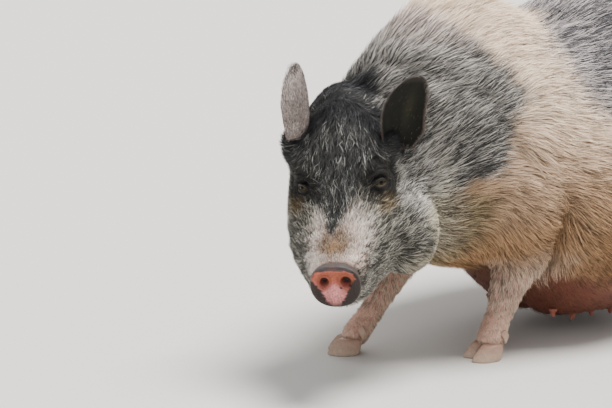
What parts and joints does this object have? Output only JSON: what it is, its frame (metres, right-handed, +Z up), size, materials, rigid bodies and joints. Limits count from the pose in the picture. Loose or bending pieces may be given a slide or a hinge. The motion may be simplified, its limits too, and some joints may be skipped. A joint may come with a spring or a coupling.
{
  "type": "pot bellied pig",
  "caption": "Standing pot-bellied sow with a sagging belly, head turned to her left, upright ears, flat snout disc, cloven hooves and a straight tasselled tail.",
  "frame": {"origin": "on the floor under the middle of the animal's box", "axes": "+Z up, the body's line along Y with the head towards -Y, her left side towards +X"},
  "size_m": [0.479, 1.1614, 0.592],
  "materials": {
    "coat_cream": "cream and pinkish-white bristle coat",
    "coat_grey": "grey roan bristle coat",
    "coat_dark": "black bristle coat with white ticking",
    "snout_pink": "bare moist skin",
    "eye_dark": "wet and glossy",
    "hoof_horn": "pale horn",
    "skin_pink": "thinly haired pink skin"
  },
  "bodies": {
    "root": {"barrel": "coat_cream", "ear_left": "coat_grey", "ear_right": "coat_grey", "eye_left": "eye_dark", "eye_right": "eye_dark", "fore_left_dewclaw_inner": "hoof_horn", "fore_left_dewclaw_outer": "hoof_horn", "fore_left_foot": "skin_pink", "fore_left_leg": "coat_cream", "fore_left_toe_inner": "hoof_horn", "fore_left_toe_outer": "hoof_horn", "fore_right_dewclaw_inner": "hoof_horn", "fore_right_dewclaw_outer": "hoof_horn", "fore_right_foot": "skin_pink", "fore_right_leg": "coat_cream", "fore_right_toe_inner": "hoof_horn", "fore_right_toe_outer": "hoof_horn", "head": "coat_dark", "hind_left_dewclaw_inner": "hoof_horn", "hind_left_dewclaw_outer": "hoof_horn", "hind_left_foot": "skin_pink", "hind_left_leg": "coat_cream", "hind_left_toe_inner": "hoof_horn", "hind_left_toe_outer": "hoof_horn", "hind_right_dewclaw_inner": "hoof_horn", "hind_right_dewclaw_outer": "hoof_horn", "hind_right_foot": "skin_pink", "hind_right_leg": "coat_cream", "hind_right_toe_inner": "hoof_horn", "hind_right_toe_outer": "hoof_horn", "hindquarters": "coat_grey", "lower_jaw": "coat_grey", "neck": "coat_grey", "shoulders": "coat_cream", "snout_disc": "snout_pink", "tail": "coat_grey"}
  },
  "joints": []
}
